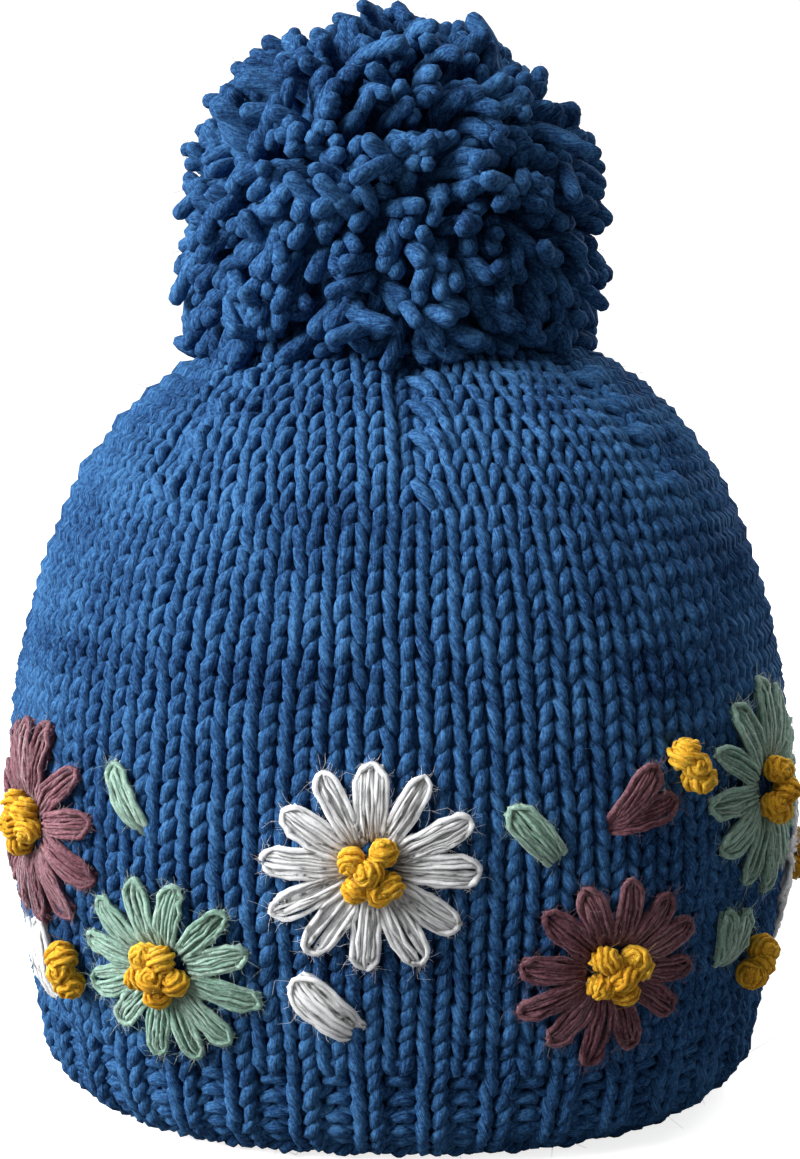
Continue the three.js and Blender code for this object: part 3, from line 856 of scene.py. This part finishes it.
def petal(start, end, half):
    """Strands of a petal that points up from the middle, flat: sideways, up and out.

    One strand goes up one side, round the tip and down the other. Two thick ones fill it, and
    fine ones lie on them.
    """
    inner = half - PETAL_YARN
    length = end - start
    climb = np.concatenate((np.linspace(0, 1, 7)[:-1], np.ones(9), np.linspace(1, 0, 7)[1:]))
    bend = np.concatenate((np.full(6, -90.0), np.linspace(-90, 90, 9), np.full(6, 90.0)))
    straight = length - TIP_REACH * inner - PETAL_YARN
    side = inner * np.sign(bend) * np.abs(np.sin(np.radians(bend))) ** TIP_REACH
    side = side * (0.5 + 0.5 * np.sin(math.pi * np.clip(climb, 0, 1) * 0.62) ** 0.8 / 0.9)
    up = start + straight * climb + TIP_REACH * inner * np.cos(np.radians(bend)) * (climb == 1)
    share = (up - start) / length
    out = (PETAL_RISE - PETAL_YARN) * petal_arch(share) - ANCHOR["outline"] * (1 - share) ** 9
    out = out - 0.9 * np.clip(share - 0.93, 0, 1) / 0.07
    wobble = PETAL_ROUGHNESS * rng.standard_normal((len(up), 3)) * (1, 0.3, 1)
    radius = PETAL_YARN * (1 + 0.1 * rng.standard_normal(len(up)))
    strands = [(np.stack((side, up, out), axis=1) + wobble, radius)]

    share = np.linspace(0, 1, 7)
    arch = petal_arch(share)
    widening = 0.45 + 0.55 * np.sin(math.pi * share * 0.72)
    radius = PETAL_BODY * half / PETAL_HALF * np.array((0.7, 0.85, 1, 1, 1, 0.9, 0.4))
    for way in (-1, 1):
        side = way * 0.85 * (half - 0.4 - PETAL_BODY) * widening
        out = (PETAL_RISE - 0.25) * arch - PETAL_BODY - ANCHOR["body"] * (1 - share) ** 9
        strands.append((np.stack((side, start + (length - 0.8) * share, out), axis=1), radius))

    for place in np.linspace(-1, 1, PETAL_FIBRES + 2)[1:-1]:
        place = place + 0.12 * rng.standard_normal()
        tip = end - 0.6 - 1.3 * place**2 + 0.3 * rng.standard_normal()
        side = inner * place * widening * 1.05
        out = (PETAL_RISE - PETAL_FIBRE + 0.12 * rng.standard_normal()) * arch
        out = out - ANCHOR["fibres"] * (1 - share) ** 9 - 0.8 * share**14
        points = np.stack((side, start + (tip - start) * share, out), axis=1)
        points += PETAL_ROUGHNESS * rng.standard_normal(points.shape) * (1, 0, 1)
        strands.append((points, PETAL_FIBRE * (1.1 + 0.15 * rng.standard_normal(len(share)))))
    return strands


def petal_fuzz(outline):
    """Fine curved hairs that stand away from a petal's outline and lie near the knitting, flat."""
    points, _ = outline
    middle = points.mean(axis=0)
    hairs = []
    for place in rng.integers(1, len(points) - 1, size=PETAL_FUZZ):
        along = points[place + 1] - points[place - 1]
        away = np.array((along[1], -along[0], 0)) / max(np.linalg.norm(along[:2]), 0.01)
        away = away if away @ (points[place] - middle) > 0 else -away
        root = points[place] + rng.uniform(-0.5, 0.5) * along + away * rng.uniform(-1.4, 0.5)
        root[2] += 0.3
        way = away * rng.uniform(0.4, 1) + along * rng.normal(0, 0.5) + (0, 0, rng.uniform(-0.1, 0.35))
        way /= np.linalg.norm(way)
        long = PETAL_FUZZ_LENGTH * min(rng.lognormal(0, 0.5), 2.8)
        curl = np.array((-way[1], way[0], 0)) * rng.normal(0, 0.22) * long
        hair = np.stack((root, root + way * long * 0.5 + curl, root + way * long))
        hairs.append((hair, HAIR_GIRTH * TAPER))
    return hairs


def turned(strands, degrees):
    """Flat strands turned about the middle, clockwise as seen from outside."""
    cos, sin = math.cos(math.radians(degrees)), math.sin(math.radians(degrees))
    turn = np.array(((cos, -sin, 0), (sin, cos, 0), (0, 0, 1)))
    return [(points @ turn, radius) for points, radius in strands]


def moved(strands, sideways, up):
    """Flat strands moved in their own plane."""
    return [(points + (sideways, up, 0), radius) for points, radius in strands]


def sewn_on(strands, around, up):
    """Flat strands laid on the wall."""
    laid = []
    for points, radius in strands:
        place = up + points[:, 1]
        sideways = points[:, 0] / (GIRTH * reach_at(place))
        laid.append((wall(around + sideways, place, points[:, 2]), radius))
    return laid


def knot(sideways, up, out, radius=KNOT_RADIUS):
    """A ball of yarn wound round itself, as a thin strand and a thick one inside it."""
    share = np.linspace(0, 1, KNOT_POINTS)
    polar = math.pi * (0.06 + 0.88 * share) + 0.1 * rng.standard_normal(len(share))
    turn = 2 * math.pi * KNOT_TURNS * share + rng.uniform(0, 6)
    level = np.sin(polar)
    around_it = np.stack((level * np.cos(turn), level * np.sin(turn), np.cos(polar)), axis=1)
    shell = (radius - KNOT_YARN) * (1 + 0.04 * rng.standard_normal((len(share), 1)))
    rounding = np.sin(np.linspace(-1.45, 1.45, 8))
    core = radius - 0.8 * KNOT_YARN
    tilt, _ = np.linalg.qr(rng.normal(size=(3, 3)))
    place = (sideways, up, out)
    yarn = shell * around_it @ tilt + place, KNOT_YARN * (1 + 0.12 * rng.standard_normal(len(share)))
    inside = np.outer(rounding, core * tilt[2]) + place, core * np.sqrt(1 - rounding**2)
    return [yarn, inside]


loose_hairs = {material: [] for material in (*SLOT_OF, MUSTARD)}


def sew_petals(strands, fuzz, around, up, name, node, material):
    """Petals laid on the hat as a piece in place of a CAD node, with their fuzz beside them."""
    strands = sewn_on(strands, around, up)
    loose_hairs[material] += sewn_on(fuzz, around, up)
    worn(laid_yarn(name, material, strands, sides=4), SLOT_OF[material], node)
    return strands


def sew_knots(balls, hair_count, around, up, name, node):
    """Knots laid on the hat as a piece in place of a CAD node, with their hairs."""
    balls = sewn_on(balls, around, up)
    hairs = loose_hairs[MUSTARD]
    hairs += stray_fibres(balls, hair_count, KNOT_HAIR_LENGTH, HAT_MIDDLE, len(hairs))
    worn(laid_yarn(name, MUSTARD, balls, sides=6), "mustard_wool", node)


for name, around, up, tip, turn, material in DAISIES:
    strands, fuzz = [], []
    for number in range(PETALS):
        spread = 360 / PETALS * number + turn + rng.normal(0, 2.5)
        end = tip - 0.2 + rng.normal(0, 0.7)
        half = PETAL_HALF * tip / FULL_TIP * (1 + rng.normal(0, 0.06))
        one = petal(PETAL_START, end, half)
        strands += turned(one, spread)
        fuzz += turned(petal_fuzz(one[0]), spread)
    strands = sew_petals(strands, fuzz, around, up, f"{name}_petals", f"daisy_{name}_petals", material)
    hairs = loose_hairs[material]
    hairs += stray_fibres(strands, PETALS * PETAL_HAIRS, PETAL_HAIR_LENGTH, HAT_MIDDLE, len(hairs))
    balls = []
    for number in range(KNOTS):
        on_top = number == KNOTS - 1
        angle = 2 * math.pi * (number / (KNOTS - 1)) + rng.uniform(0, 1)
        far = 0 if on_top else KNOT_RING + rng.normal(0, 0.3)
        balls += knot(far * math.sin(angle), far * math.cos(angle), TOP_OUT if on_top else RING_OUT)
    sew_knots(balls, KNOT_HAIRS, around, up, f"{name}_knots", f"daisy_{name}_knots")

for name, around, up, length, width, lean, material in LEAVES:
    one = petal(-length / 2, length / 2, width / 2)
    fuzz = turned(petal_fuzz(one[0]), lean)
    sew_petals(turned(one, lean), fuzz, around, up, f"{name}_leaf", f"leaf_{name}", material)

for name, around, up, length, lean, side, material in BUDS:
    strands, fuzz = [], []
    for way in (-1, 1):
        one = petal(-length / 2, length / 2, PETAL_HALF)
        strands += moved(turned(one, way * BUD_SPREAD), way * BUD_APART, 0)
        fuzz += moved(turned(petal_fuzz(one[0]), way * BUD_SPREAD), way * BUD_APART, 0)
    strands, fuzz = turned(strands, lean), turned(fuzz, lean)
    sew_petals(strands, fuzz, around, up, f"{name}_bud_petals", f"bud_{name}_petals", material)
    far = length / 2 + BUD_KNOT_RADIUS + BUD_KNOT_GAP
    sin, cos = math.sin(math.radians(side)), math.cos(math.radians(side))
    balls = knot(far * sin, far * cos, BUD_TOP_OUT)
    for way in (-BUD_KNOTS_APART, BUD_KNOTS_APART):
        balls += knot(far * sin + way * cos, far * cos - way * sin, BUD_KNOTS_OUT, BUD_KNOT_RADIUS)
    sew_knots(balls, KNOT_HAIRS // 2, around, up, f"{name}_bud_knots", f"bud_{name}_knots")

for material in SLOT_OF:
    hairs = loose_hairs[material]
    worn(laid_yarn(f"{material.name}_fibres", material, hairs, sides=3), SLOT_OF[material])
worn(laid_yarn("knot_fibres", MUSTARD, loose_hairs[MUSTARD], sides=3), "mustard_wool")


# Floor, light and view
PAPER_GLOW = 0.8  # so that the paper shows white without lighting the hat's dark side
PAPER_SHADE = 0.8  # the grey that takes the hat's shadow, as the camera sees it
PAPER_BOUNCE = 0.25  # the grey that throws light back on the hat
PAPER_HALF, PAPER_HEIGHT, PAPER_BEND = 2.5, 3.0, 1.0  # metres
SKY_LIGHT = 0.2  # the sky shows white and lights the hat with this much
LAMP_TARGET = (0, 0, 0.11)
LAMPS = (
    # name, place, size, power
    ("window", (-1.05, -0.44, 0.74), 0.8, 44),
    ("ceiling", (0.0, -0.1, 1.3), 0.8, 5),
    ("rear", (0.9, 1.1, 0.7), 1.0, 16),
)


def paper():
    """A material that is white to the camera and grey to the light that reaches the hat."""
    material = bpy.data.materials.new("paper")
    material.use_nodes = True
    material.node_tree.nodes.clear()
    tree = Tree(material.node_tree)
    bounced = tree.value("ShaderNodeBsdfDiffuse", None, {"Color": (*[PAPER_BOUNCE] * 3, 1)})
    shaded = tree.value("ShaderNodeBsdfDiffuse", None, {"Color": (*[PAPER_SHADE] * 3, 1)})
    glow = tree.value("ShaderNodeEmission", None, {"Color": (1, 1, 1, 1), "Strength": PAPER_GLOW})
    seen = tree.value("ShaderNodeAddShader", None, {0: shaded, 1: glow})
    direct = tree.value("ShaderNodeLightPath", output="Is Camera Ray")
    mixed = tree.value("ShaderNodeMixShader", None, {0: direct, 1: bounced, 2: seen})
    tree.node("ShaderNodeOutputMaterial", None, {0: mixed})
    return material


def backdrop():
    """A pale floor that sweeps up into a wall behind the hat."""
    form = bmesh.new()
    bmesh.ops.create_grid(form, x_segments=1, y_segments=1, size=PAPER_HALF)
    rear = [edge for edge in form.edges if all(vertex.co.y > 0 for vertex in edge.verts)]
    upright = bmesh.ops.extrude_edge_only(form, edges=rear)["geom"]
    raised = [part for part in upright if isinstance(part, bmesh.types.BMVert)]
    bmesh.ops.translate(form, verts=raised, vec=(0, 0, PAPER_HEIGHT))
    bmesh.ops.bevel(
        form,
        geom=rear,
        offset=PAPER_BEND,
        segments=24,
        profile=0.5,
        affect="EDGES",
        material=-1,
    )
    sheet = formed("backdrop", form, paper())
    sheet.data.shade_smooth()


def lamp(name, place, size, power):
    """A square soft light that faces the hat. Place and size are in metres, and power in watts."""
    light = bpy.data.lights.new(name, "AREA")
    light.size = size
    light.energy = power
    holder = bpy.data.objects.new(name, light)
    holder.location = place
    holder.rotation_euler = facing(place, LAMP_TARGET)
    bpy.context.scene.collection.objects.link(holder)


backdrop()
for row in LAMPS:
    lamp(*row)
world = bpy.data.worlds.new("studio")
world.use_nodes = True
world.node_tree.nodes.clear()
tree = Tree(world.node_tree)
strength = tree.value("ShaderNodeLightPath", output="Is Camera Ray") * (1 - SKY_LIGHT) + SKY_LIGHT
sky = tree.value("ShaderNodeBackground", None, {"Color": (1, 1, 1, 1), "Strength": strength})
tree.node("ShaderNodeOutputWorld", None, {0: sky})
bpy.context.scene.world = world
bpy.context.scene.view_settings.view_transform = "Standard"
